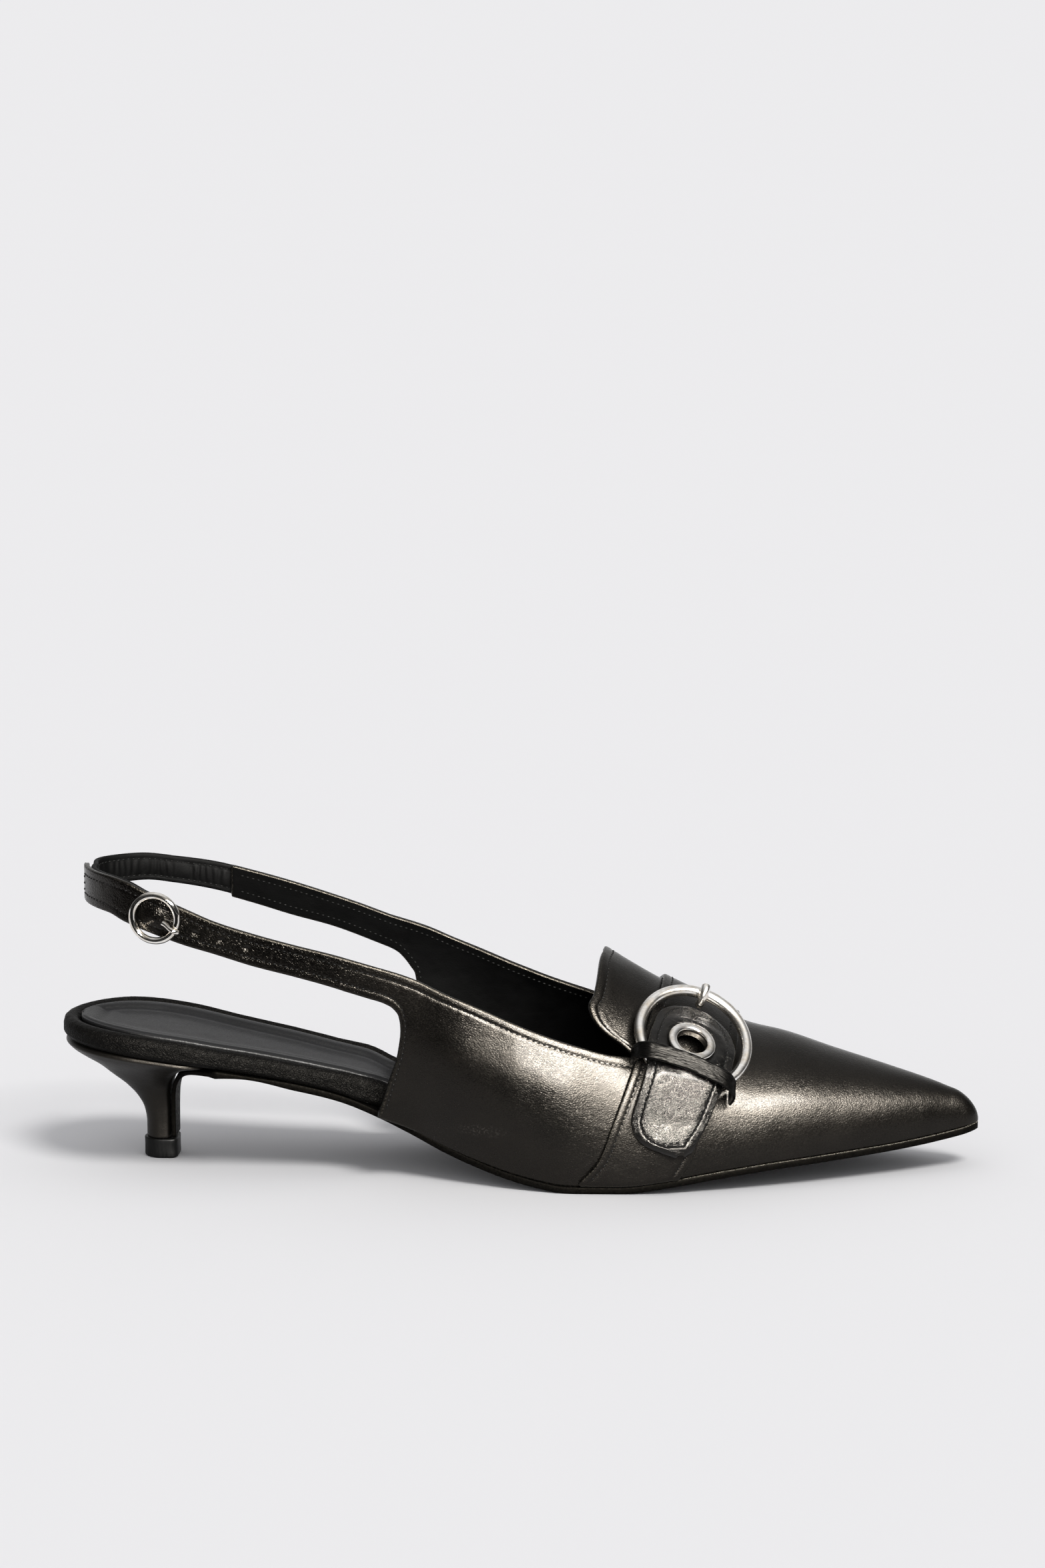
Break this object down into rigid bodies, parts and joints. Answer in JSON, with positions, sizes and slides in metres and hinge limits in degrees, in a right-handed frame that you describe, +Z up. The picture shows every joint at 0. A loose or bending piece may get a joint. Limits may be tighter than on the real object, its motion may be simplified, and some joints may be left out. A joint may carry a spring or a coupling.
{
  "type": "slingback pump",
  "caption": "Pointed slingback pump with a kitten heel, a wide band and large ring buckle over the vamp and a small ankle buckle.",
  "frame": {"origin": "middle of the top lift's floor face", "axes": "+X to the toe, +Y to the inner (medial) side of this right shoe, +Z up"},
  "size_m": [0.2604, 0.0774, 0.085],
  "materials": {
    "upper_leather": "satin black nappa with a fine grain",
    "strap_leather": "glossier black leather, stitched edges",
    "lining": "gathered black leather over elastic",
    "insole_leather": "black leather wrapped over the board",
    "sock_leather": "dark grey satin leather",
    "sole": "black sole leather",
    "heel_leather": "black leather wrapped over the heel block",
    "top_lift": "matt black tread",
    "ring_steel": "satin silver",
    "eyelet_steel": "polished silver",
    "small_buckle_steel": "bright polished silver"
  },
  "bodies": {
    "root": {"upper": "upper_leather", "vamp_band": "upper_leather", "tongue_flap": "upper_leather", "buckle_strap": "strap_leather", "keeper": "strap_leather", "back_strap": "lining", "insole": "insole_leather", "sock": "sock_leather", "outsole": "sole", "heel": "heel_leather", "top_lift": "top_lift", "o_ring": "ring_steel", "ring_prong": "ring_steel", "eyelet": "eyelet_steel", "small_ring": "small_buckle_steel", "small_prong": "small_buckle_steel"}
  },
  "joints": []
}
